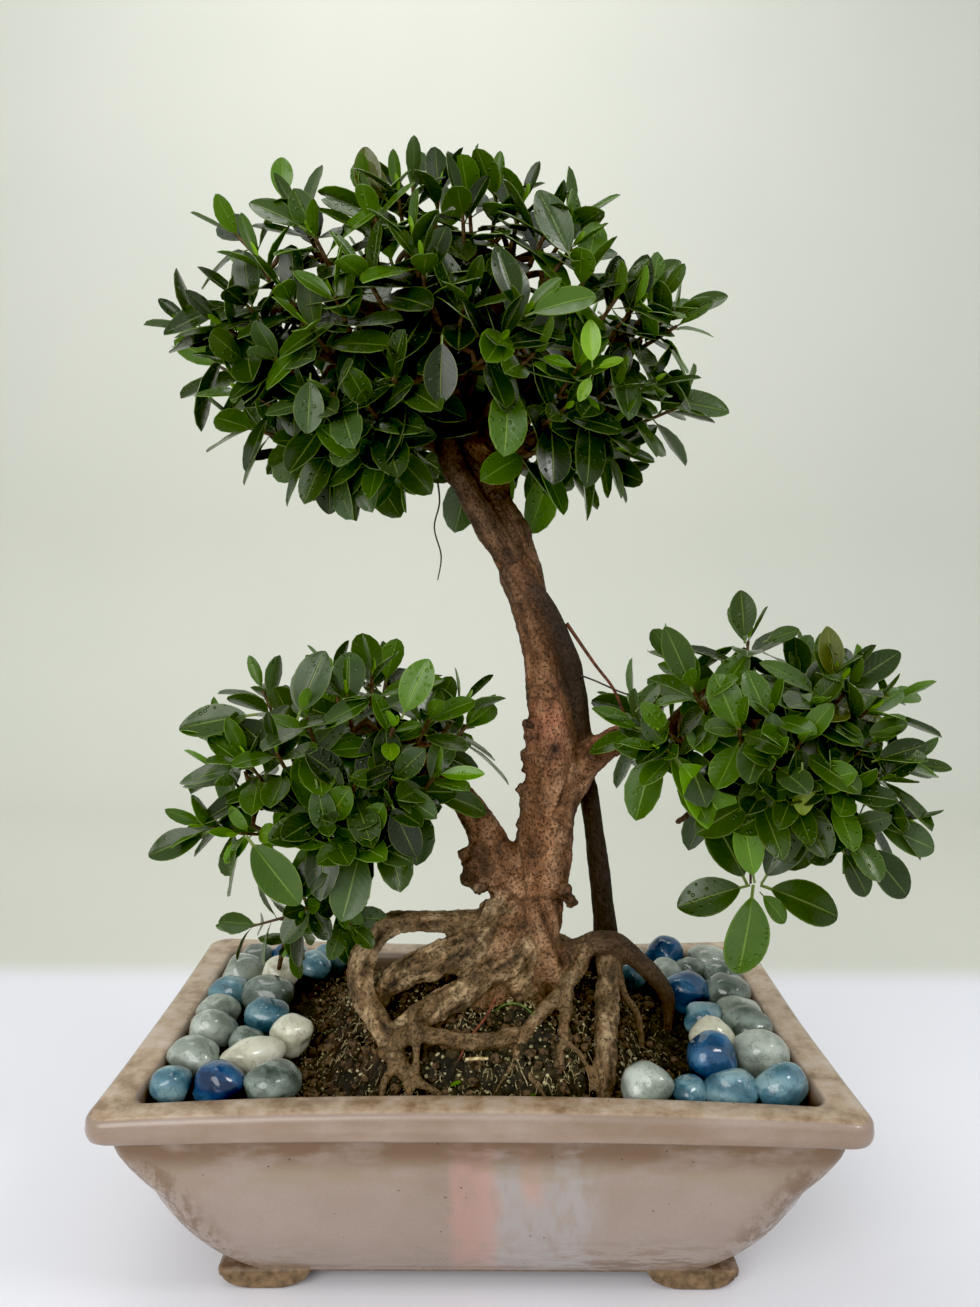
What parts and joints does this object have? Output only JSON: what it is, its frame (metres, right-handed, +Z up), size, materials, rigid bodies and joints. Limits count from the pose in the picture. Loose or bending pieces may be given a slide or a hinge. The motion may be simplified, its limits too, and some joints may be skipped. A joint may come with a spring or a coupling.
{
  "type": "potted bonsai tree",
  "caption": "Small-leaved fig bonsai with exposed arching roots, a crown and two side pads of glossy leaves, in a rectangular glazed pot edged with polished pebbles.",
  "frame": {"origin": "bottom centre of the whole object's box, on the surface that the pot's feet rest on", "axes": "+Z up along the trunk, +X along the pot's long side towards the right-hand leaf pad, -Y towards the front"},
  "size_m": [0.4746, 0.2628, 0.6602],
  "materials": {
    "pot_glaze": "semi-gloss pinkish beige glaze with ochre stains, bare ochre clay at the feet",
    "screen_plastic": "matte black moulded plastic screen",
    "bark": "matte grey-brown to reddish fig bark with pores and ridges",
    "soil": "matte moist crumbly potting soil with moss flecks",
    "leaf": "glossy waxy green leaves, paler below and along the midrib",
    "pebble_blue": "polished deep blue banded stone",
    "pebble_pale": "polished pale blue-grey stone",
    "pebble_teal": "polished teal stone with veins",
    "pebble_grey": "polished grey stone with dark inclusions",
    "pebble_cream": "polished cream white stone"
  },
  "bodies": {
    "root": {"pot": "pot_glaze", "drain_screen_left": "screen_plastic", "drain_screen_right": "screen_plastic", "tree_wood": "bark", "soil": "soil", "pebble_left_01": "pebble_pale", "pebble_left_02": "pebble_grey", "pebble_left_03": "pebble_blue", "pebble_left_04": "pebble_teal", "pebble_left_05": "pebble_cream", "pebble_left_06": "pebble_teal", "pebble_left_07": "pebble_teal", "pebble_left_08": "pebble_grey", "pebble_left_09": "pebble_teal", "pebble_left_10": "pebble_pale", "pebble_left_11": "pebble_pale", "pebble_left_12": "pebble_cream", "pebble_left_13": "pebble_grey", "pebble_left_14": "pebble_pale", "pebble_left_15": "pebble_cream", "pebble_left_16": "pebble_teal", "pebble_left_17": "pebble_blue", "pebble_left_18": "pebble_grey", "pebble_right_01": "pebble_blue", "pebble_right_02": "pebble_teal", "pebble_right_03": "pebble_pale", "pebble_right_04": "pebble_grey", "pebble_right_05": "pebble_pale", "pebble_right_06": "pebble_teal", "pebble_right_07": "pebble_grey", "pebble_right_08": "pebble_grey", "pebble_right_09": "pebble_blue", "pebble_right_10": "pebble_pale", "pebble_right_11": "pebble_grey", "pebble_right_12": "pebble_teal", "pebble_right_13": "pebble_cream", "pebble_right_14": "pebble_blue", "pebble_right_15": "pebble_pale", "pebble_right_16": "pebble_pale", "pebble_right_17": "pebble_teal", "pebble_right_18": "pebble_teal", "pebble_right_19": "pebble_teal", "crown_spray_left": "leaf", "crown_spray_upper_left": "leaf", "crown_spray_lower_left": "leaf", "crown_spray_top": "leaf", "crown_spray_upper_right": "leaf", "crown_spray_front": "leaf", "crown_spray_right": "leaf", "crown_spray_lower_right": "leaf", "crown_spray_back_left": "leaf", "crown_spray_back_right": "leaf", "left_spray_top": "leaf", "left_spray_outer": "leaf", "left_spray_low": "leaf", "left_spray_hanging": "leaf", "right_spray_inner": "leaf", "right_spray_outer": "leaf", "right_spray_low": "leaf", "right_spray_hanging": "leaf"}
  },
  "joints": []
}
